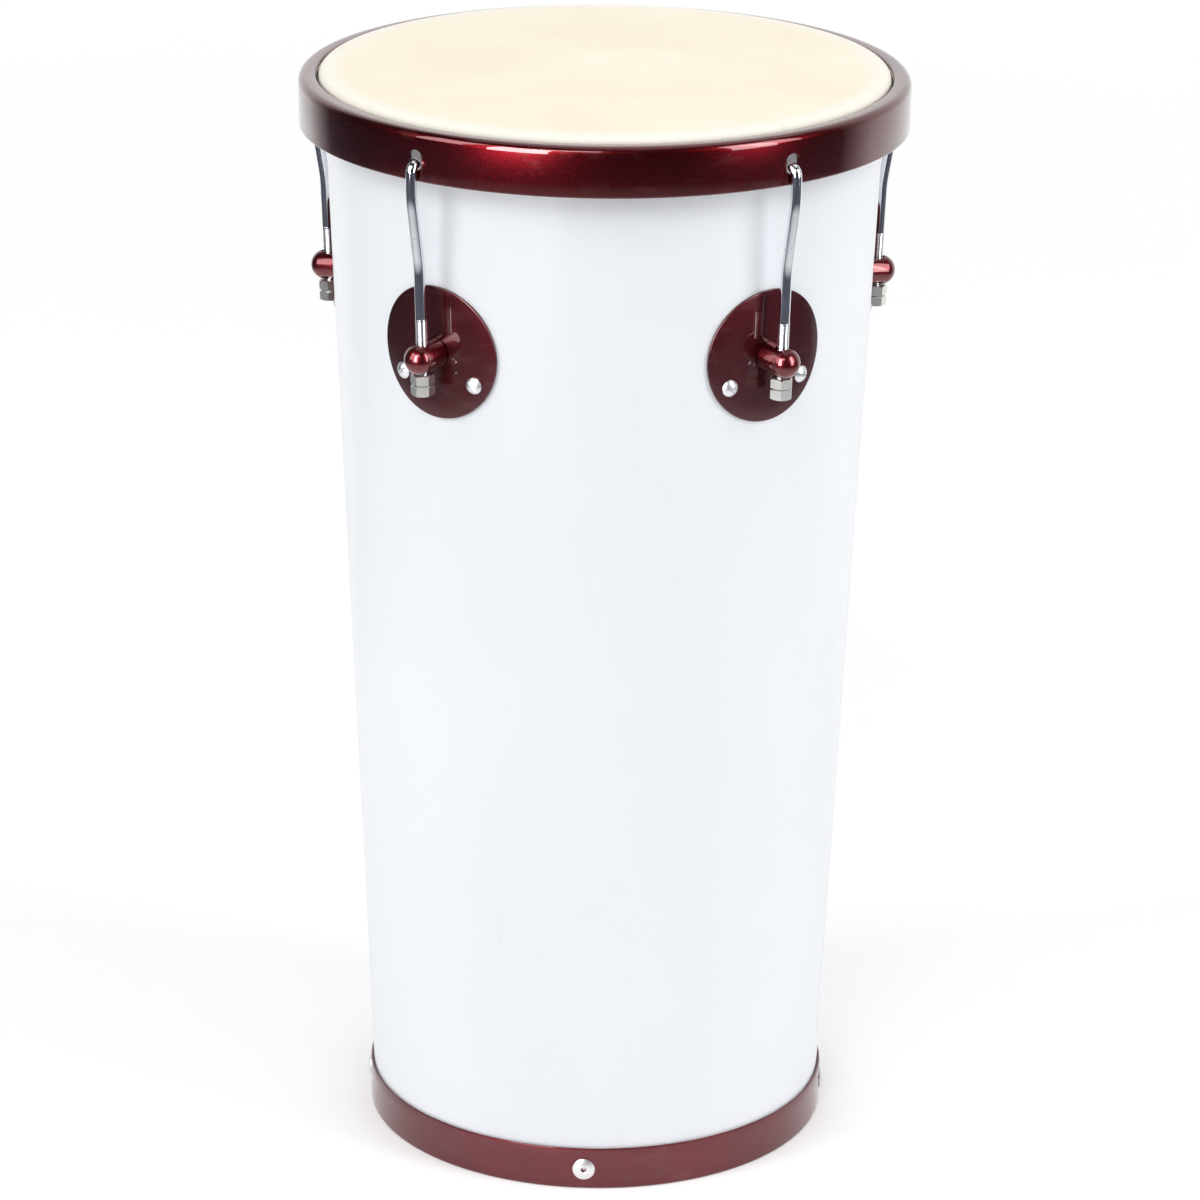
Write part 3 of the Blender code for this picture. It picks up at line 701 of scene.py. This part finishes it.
def on_wall(azimuth, across, up, out):
    """A point given along and off the laminate, measured from a lug's centre."""
    height = LUG_LEVEL + up * math.cos(WALL_TILT)
    radius = laminate_radius(height)
    turn = azimuth + across / radius
    out_radius = radius + out * math.cos(WALL_TILT)
    return (
        out_radius * math.sin(turn),
        -out_radius * math.cos(turn),
        height - out * math.sin(WALL_TILT),
    )


for lug, azimuth in enumerate(LUG_AZIMUTHS, 1):
    plate = bmesh.new()
    spokes = []
    for side in range(PLATE_SIDES):
        angle = 2.0 * math.pi * side / PLATE_SIDES
        spokes.append(
            [
                plate.verts.new(
                    on_wall(azimuth, radius * math.cos(angle), radius * math.sin(angle), out)
                )
                for radius, out in plate_rings
            ]
        )
    for side in range(PLATE_SIDES):
        near, far = spokes[side], spokes[(side + 1) % PLATE_SIDES]
        for ring in range(len(plate_rings) - 1):
            plate.faces.new((near[ring], far[ring], far[ring + 1], near[ring + 1]))
    bmesh.ops.remove_doubles(plate, verts=plate.verts, dist=1e-7)
    bmesh.ops.dissolve_degenerate(plate, edges=plate.edges, dist=1e-8)
    piece_from(
        f"lug_disc_{lug}", plate, plate_lacquer, DRUM, f"lug_plate_{lug}", slot="lug_paint"
    )


# A turned post stands on each plate, domed at the end and bored across for the rod. It is
# painted with the plate, but its lacquer is a lighter copy of the plate's red: a painted
# highlight for the light its shoulders catch. The bore stays dark.
POST_RADIUS = 7.95 * MM
POST_TIP = 23.6 * MM
POST_DOME = 6.0 * MM
POST_CHAMFER = 0.6 * MM
BORE_RADIUS = 3.8 * MM
BORE_REACH = 15.0 * MM
ROD_STANDOFF = 13.3 * MM

# Painted light: the plate's paint again, with lighter base colours, so the post looks more
# brightly lit than the plate.
post_lacquer = candy_red("post_lacquer", (0.070, 0.004, 0.007), (0.190, 0.008, 0.014), 0.26)
dome_ball = (POST_RADIUS**2 + POST_DOME**2) / (2.0 * POST_DOME)
dome_edge = math.degrees(math.acos(POST_RADIUS / dome_ball))
post_outline = [(0.0, PLATE_FACE), (POST_RADIUS - POST_CHAMFER, PLATE_FACE)]
post_outline += [(POST_RADIUS, PLATE_FACE + POST_CHAMFER)]
post_outline += arc((0.0, POST_TIP - dome_ball), dome_ball, dome_edge, 90.0, 12)


def wall_plane(azimuth):
    """Frame on the laminate at a lug: +X off the wall, +Z up along it."""
    return (
        facing(azimuth)
        @ Matrix.Translation((laminate_radius(LUG_LEVEL), 0.0, LUG_LEVEL))
        @ Matrix.Rotation(WALL_TILT, 4, "Y")
    )


def rod_plane(azimuth):
    """Frame on a rod's lower axis, level with the post: +Z along the rod."""
    return wall_plane(azimuth) @ Matrix.Translation((ROD_STANDOFF, 0.0, 0.0))


bore_outline = [(0.0, -BORE_REACH), (BORE_RADIUS, -BORE_REACH)]
bore_outline += [(BORE_RADIUS, BORE_REACH), (0.0, BORE_REACH)]
for lug, azimuth in enumerate(LUG_AZIMUTHS, 1):
    upright = wall_plane(azimuth) @ Matrix.Rotation(math.pi / 2.0, 4, "Y")
    post = blank(f"lug_stud_{lug}", turned(post_outline, 64, upright))
    cut(post, blank("bore_cutter", turned(bore_outline, 40, rod_plane(azimuth))))
    settle(post, post_lacquer, DRUM, [f"lug_post_{lug}"])


# Two slotted dome-headed screws hold each plate, nickel plated, with nuts inside the shell.
# Their slots stop at any angle.
SCREW_LEVEL = LUG_LEVEL - 14.5 * MM
SCREW_SPREAD = math.radians(9.09)
SCREW_HEAD = 4.5 * MM
SCREW_RISE = 2.6 * MM
SCREW_RIM = 0.5 * MM
SCREW_BURR = 0.15 * MM
SCREW_SLOT = 1.2 * MM
SCREW_SLOT_REACH = 12.0 * MM

screw_cap = SCREW_RISE - SCREW_RIM
screw_ball = (SCREW_HEAD**2 + screw_cap**2) / (2.0 * screw_cap)
screw_edge = math.degrees(math.acos(SCREW_HEAD / screw_ball))
screw_outline = [(0.0, 0.0), (SCREW_HEAD - SCREW_BURR, 0.0), (SCREW_HEAD, SCREW_BURR)]
screw_outline += arc((0.0, SCREW_RISE - screw_ball), screw_ball, screw_edge, 90.0, 10)
screw_pattern = blank("screw_pattern", turned(screw_outline, 40))
slot_block = bmesh.new()
bmesh.ops.create_cube(slot_block, size=1.0)
slot_block.transform(
    Matrix.Translation((0.0, 0.0, SCREW_RISE))
    @ Matrix.Diagonal((SCREW_SLOT_REACH, SCREW_SLOT, 2.0 * SCREW_SLOT, 1.0))
)
cut(screw_pattern, blank("slot_block", slot_block))
screw_zinc = dull_metal("screw_zinc", (0.74, 0.75, 0.77), 0.27, wear=0.1)
screw_places = [f"{lug}_{side}" for lug in range(1, 6) for side in ("left", "right")]
plate_screws = fasteners(
    "plate_screws",
    screw_pattern,
    screw_zinc,
    groups=5,
    each=2,
    first=LUG_AZIMUTHS[0],
    spread=SCREW_SPREAD,
    radius=laminate_radius(SCREW_LEVEL) + PLATE_FACE,
    height=SCREW_LEVEL,
    lean=WALL_TILT,
    seed=11,
)
replaced_screws = [f"lug_screw_{place}" for place in screw_places]
settle(plate_screws, screw_zinc, DRUM, replaced_screws)
for place in screw_places:
    refinish(f"lug_screw_nut_{place}", screw_zinc)


# Each hook rod is chromed steel wire, hooked through the hoop, cranked in below it and
# threaded where it passes the post.
ROD_RADIUS = 2.9 * MM
HOOK_TIP = 155.5 * MM
HOOK_LEVEL = 581.4 * MM
NECK_RADIUS = 167.4 * MM
NECK_FOOT = 564.0 * MM
CRANK_FOOT = 526.0 * MM
HOOK_BEND = 4.0 * MM
CRANK_BEND = 75.0 * MM
THREAD_TOP = 21.5 * MM
THREAD_FOOT = -19.75 * MM
THREAD_RADIUS = 3.175 * MM
THREAD_PITCH = 1.27 * MM
THREAD_DEPTH = 0.60 * MM
THREAD_SIDES = 28
THREAD_ROWS = 8.0


def bright_chrome():
    chrome = Finish("bright_chrome", {"Metallic": 1.0})
    pits = chrome.cells(330.0)
    pit = 1.0 - pits.between(0.06, 0.11)
    haze = chrome.noise(160.0, 4.0)
    bright = chrome.mix(haze, (0.74, 0.76, 0.80), (0.84, 0.85, 0.88))
    chrome.feed(
        Base_Color=chrome.mix(pit, bright, (0.07, 0.05, 0.05)),
        Roughness=0.05 + haze * 0.08,
    )
    chrome.relief(haze, 0.01 * MM, 0.5)
    return chrome.material


def rounded(corners, radii, steps):
    """A plane route through corners, each rounded to its radius."""
    route = [Vector(corners[0])]
    for before, corner, after, radius in zip(corners, corners[1:], corners[2:], radii):
        before, corner, after = Vector(before), Vector(corner), Vector(after)
        back = (before - corner).normalized()
        ahead = (after - corner).normalized()
        half = back.angle(ahead) / 2.0
        middle = corner + (back + ahead).normalized() * radius / math.sin(half)
        first = corner + back * radius / math.tan(half)
        last = corner + ahead * radius / math.tan(half)
        start, end = first - middle, last - middle
        sweep = start.angle_signed(end)
        for step in range(steps + 1):
            turn = Matrix.Rotation(-sweep * step / steps, 2)
            route.append(middle + turn @ start)
    return route + [Vector(corners[-1])]


def wire(route, radius, sides, at):
    """A round wire along a route of (outward, up) points, closed by rounded ends."""
    shape = bmesh.new()
    rings = []
    tip_back = (route[0] - route[1]).normalized() * radius * 0.35
    stations = [(route[0] + tip_back, 0.6)] + [(point, 1.0) for point in route]
    for place, (point, share) in enumerate(stations):
        before = stations[max(place - 1, 0)][0]
        after = stations[min(place + 1, len(stations) - 1)][0]
        along = (after - before).normalized()
        across = Vector((along.y, 0.0, -along.x))
        ring = []
        for side in range(sides):
            angle = 2.0 * math.pi * side / sides
            offset = across * math.cos(angle) + Vector((0.0, math.sin(angle), 0.0))
            centre = Vector((point.x, 0.0, point.y))
            ring.append(shape.verts.new(at @ (centre + offset * radius * share)))
        rings.append(ring)
    for near, far in zip(rings, rings[1:]):
        for side in range(sides):
            following = (side + 1) % sides
            shape.faces.new((near[side], near[following], far[following], far[side]))
    shape.faces.new(rings[0])
    shape.faces.new(rings[-1])
    return shape


def rod_thread(name, at, material):
    """A cut thread: a fine cylinder whose wall dips between the crests of one helix."""
    tree = Steps(name + "_cut")
    radius = tree.takes("Crest Radius", "NodeSocketFloat", THREAD_RADIUS)
    pitch = tree.takes("Pitch", "NodeSocketFloat", THREAD_PITCH)
    depth = tree.takes("Depth", "NodeSocketFloat", THREAD_DEPTH)
    length = tree.takes("Length", "NodeSocketFloat", THREAD_TOP - THREAD_FOOT)
    rows = tree.maths("ROUND", length / pitch * THREAD_ROWS)
    stock = tree.node(
        "GeometryNodeMeshCylinder",
        {},
        {"Vertices": THREAD_SIDES, "Side Segments": rows, "Radius": radius, "Depth": length},
        "Mesh",
    )
    place = tree.node("GeometryNodeInputPosition")
    x, y, z = tree.parts(place)
    phase = z / pitch - tree.maths("ARCTAN2", y, x) / (2.0 * math.pi)
    dip = tree.maths("PINGPONG", phase, 0.5) * 2.0 * depth
    share = 1.0 - dip / radius
    squeeze = tree.node("ShaderNodeCombineXYZ", {}, {0: share, 1: share, 2: 1.0})
    dipped = tree.node(
        "ShaderNodeVectorMath", {"operation": "MULTIPLY"}, {0: place, 1: squeeze}
    )
    cut_stock = tree.node(
        "GeometryNodeSetPosition", {}, {"Geometry": stock, "Position": dipped}
    )
    made = tree.made(name, cut_stock, material)
    middle = (THREAD_TOP + THREAD_FOOT) / 2.0
    made.data.transform(at @ Matrix.Translation((0.0, 0.0, middle)))
    return made


chrome = bright_chrome()
axis_radius = laminate_radius(LUG_LEVEL) + ROD_STANDOFF * math.cos(WALL_TILT)
axis_level = LUG_LEVEL - ROD_STANDOFF * math.sin(WALL_TILT)


def on_rod_axis(along):
    """(outward, up) of a point on the rod's lower axis, measured from the post."""
    return (
        axis_radius + along * math.sin(WALL_TILT),
        axis_level + along * math.cos(WALL_TILT),
    )


crank_along = (CRANK_FOOT - axis_level) / math.cos(WALL_TILT)
rod_corners = [
    (HOOK_TIP, HOOK_LEVEL),
    (NECK_RADIUS, HOOK_LEVEL),
    (NECK_RADIUS, NECK_FOOT),
    on_rod_axis(crank_along),
    on_rod_axis(THREAD_TOP - 1.0 * MM),
]
rod_route = rounded(rod_corners, (HOOK_BEND, CRANK_BEND, CRANK_BEND), 10)
for lug, azimuth in enumerate(LUG_AZIMUTHS, 1):
    piece_from(
        f"hook_wire_{lug}",
        wire(rod_route, ROD_RADIUS, 28, facing(azimuth)),
        chrome,
        f"rod_{lug}",
        f"hook_rod_{lug}",
        slot="rod_chrome",
        sharp=50.0,
    )
    settle(
        rod_thread(f"rod_thread_{lug}", rod_plane(azimuth), chrome),
        chrome,
        f"rod_{lug}",
        [],
        sharp=70.0,
    )


# Two plated hexagon nuts on each rod, one to pull the rod down and one to lock it, both
# chamfered so that their flats end in scallops.
NUT_FLATS = 11.1 * MM
NUT_HEIGHT = 5.6 * MM
NUT_BORE = 3.2 * MM
NUT_BEVEL = 0.3 * MM
NUT_COUNTERSINK = 0.5 * MM
NUT_CHAMFER_RADIUS = 5.25 * MM
NUT_CHAMFER = math.radians(30.0)
NUT_SAMPLES = 72
UPPER_NUT_TOP = -8.25 * MM
LOWER_NUT_TOP = -14.15 * MM
NUT_TURNS = (36.0, 54.0, 16.0, 40.0, 8.0)

nut_nickel = dull_metal("nut_nickel", (0.74, 0.73, 0.70), 0.22, wear=0.10)


def hexagon_nut(at):
    shape = bmesh.new()
    half = NUT_HEIGHT / 2.0
    rows = []
    for sample in range(NUT_SAMPLES):
        angle = 2.0 * math.pi * sample / NUT_SAMPLES
        off_flat = (angle + math.pi / 6.0) % (math.pi / 3.0) - math.pi / 6.0
        edge = NUT_FLATS / 2.0 / math.cos(off_flat)
        drop = max(0.0, edge - NUT_CHAMFER_RADIUS) * math.tan(NUT_CHAMFER)
        levels = [
            (NUT_BORE, -half + NUT_BEVEL),
            (NUT_BORE + NUT_COUNTERSINK, -half),
            (NUT_CHAMFER_RADIUS, -half),
            (edge, -half + drop),
            (edge, half - drop),
            (NUT_CHAMFER_RADIUS, half),
            (NUT_BORE + NUT_COUNTERSINK, half),
            (NUT_BORE, half - NUT_BEVEL),
        ]
        spoke = Vector((math.cos(angle), math.sin(angle), 0.0))
        rows.append([shape.verts.new(spoke * r + Vector((0, 0, z))) for r, z in levels])
    for sample in range(NUT_SAMPLES):
        near, far = rows[sample], rows[(sample + 1) % NUT_SAMPLES]
        for level in range(len(near)):
            following = (level + 1) % len(near)
            shape.faces.new((near[level], far[level], far[following], near[following]))
    shape.transform(at)
    return shape


for lug, (azimuth, turn) in enumerate(zip(LUG_AZIMUTHS, NUT_TURNS), 1):
    for body, node, top in (
        (f"upper_nut_{lug}", f"tension_nut_{lug}", UPPER_NUT_TOP),
        (f"lower_nut_{lug}", f"lock_nut_{lug}", LOWER_NUT_TOP),
    ):
        seat = (
            rod_plane(azimuth)
            @ Matrix.Translation((0.0, 0.0, top - NUT_HEIGHT / 2.0))
            @ Matrix.Rotation(math.radians(turn), 4, "Z")
        )
        piece_from(
            node.replace("nut", "hexagon"),
            hexagon_nut(seat),
            nut_nickel,
            body,
            node,
            slot="nut_nickel",
            sharp=12.0,
        )


# The studio: a pale floor that shows white to the lens but keeps the drum's shadow, soft
# boxes at both sides and above, tall panels in front, and a dark room behind the lens. Shiny
# surfaces see the white beside and behind the drum and the dark in front of it.
FLOOR_RADIUS = 14.0
FLOOR_PALE = (0.80, 0.80, 0.80)
ROOM_DARK = 0.05
DARK_FLOOR = (0.045, 0.050, 0.075)
ROOM_LIGHT = 0.50
GLOW_NEAR = 0.26
GLOW_FAR = 0.62
WHITE_TURN = math.radians(12.5)
WHITE_EDGE = (0.32, 0.62)
SEEN_DIRECTLY = ("Is Camera Ray", "Is Glossy Ray", "Is Transmission Ray")


def white_side(nodes, direction):
    """1 beside and behind the drum and 0 in front of it, from a level direction."""
    x, y, _ = nodes.parts(direction)
    return (y * math.cos(WHITE_TURN) + x * math.sin(WHITE_TURN)).between(*WHITE_EDGE)


floor_shape = bmesh.new()
bmesh.ops.create_circle(floor_shape, cap_ends=True, segments=96, radius=FLOOR_RADIUS)
floor_mesh = bpy.data.meshes.new("studio_floor")
floor_shape.to_mesh(floor_mesh)
floor_shape.free()
floor = bpy.data.objects.new("studio_floor", floor_mesh)
bpy.context.scene.collection.objects.link(floor)
pale = Finish("pale_floor", {"Roughness": 0.9, "Emission Color": (1.0, 1.0, 1.0, 1.0)})
camera_ray, glossy_ray, glass_ray = (
    pale.node("ShaderNodeLightPath", output=ray) for ray in SEEN_DIRECTLY
)
away = pale.node("ShaderNodeVectorMath", {"operation": "LENGTH"}, {0: pale.place()}, "Value")
level = pale.node("ShaderNodeVectorMath", {"operation": "NORMALIZE"}, {0: pale.place()})
white = white_side(pale, level).most(1.0 - away.between(0.70, 1.45))
glow = GLOW_NEAR + (GLOW_FAR - GLOW_NEAR) * away.between(0.6, 4.0)
dark = (glossy_ray + glass_ray) * (1.0 - white)
shown = (camera_ray + (glossy_ray + glass_ray) * white) * glow
pale.feed(
    Base_Color=pale.mix(dark, FLOOR_PALE, DARK_FLOOR),
    Emission_Strength=shown,
)
floor_mesh.materials.append(pale.material)

world = bpy.data.worlds.new("studio_room")
bpy.context.scene.world = world
world.use_nodes = True
room = Nodes(world.node_tree)
room.tree = world.node_tree
sky = room.tree.nodes["Background"]
camera_ray, glossy_ray, glass_ray = (
    room.node("ShaderNodeLightPath", output=ray) for ray in SEEN_DIRECTLY
)
mirrored = glossy_ray + glass_ray
white = white_side(room, room.node("ShaderNodeTexCoord", output="Generated"))
unseen = 1.0 - (camera_ray + mirrored).between(0.0, 1.0)
strength = camera_ray + mirrored * (ROOM_DARK + (1.0 - ROOM_DARK) * white) + ROOM_LIGHT * unseen
room.tree.links.new(strength.socket, sky.inputs["Strength"])
sky.inputs["Color"].default_value = (1.0, 1.0, 1.0, 1.0)

# name, place, width, height, radiance, whether it lights or only mirrors
SOFT_BOXES = (
    ("left_box", (-2.2, -1.2, 1.7), 1.0, 2.0, 5.0, True),
    ("right_box", (2.2, -1.0, 1.8), 1.0, 2.0, 5.2, True),
    ("top_box", (0.2, 0.3, 2.6), 2.0, 2.0, 0.8, True),
    ("front_box", (-0.5, -2.6, 2.7), 0.9, 0.9, 5.6, True),
    ("left_panel", (-0.73, -1.26, 1.03), 0.56, 1.34, 18.0, False),
    ("right_panel", (1.17, -0.86, 1.03), 0.46, 1.34, 8.0, False),
)
# The tall panels are there for the paint and the chrome; the head, seen from behind, would
# mirror them as a white patch, so they spare it.
spared = bpy.data.collections.new("spared_by_panels")
spared.objects.link(skin)
spared.collection_objects[0].light_linking.link_state = "EXCLUDE"
for name, place, width, height, radiance, lights in SOFT_BOXES:
    box = bpy.data.lights.new(name, "AREA")
    box.shape = "RECTANGLE"
    box.size = width
    box.size_y = height
    box.energy = radiance * math.pi * width * height
    holder = bpy.data.objects.new(name, box)
    target = Vector((0.0, 0.0, 0.35 if lights else place[2]))
    aim = (target - Vector(place)).to_track_quat("-Z", "Y").to_matrix().to_4x4()
    holder.matrix_world = Matrix.Translation(place) @ aim
    holder.visible_camera = False
    holder.visible_diffuse = lights
    if not lights:
        holder.light_linking.receiver_collection = spared
    bpy.context.scene.collection.objects.link(holder)
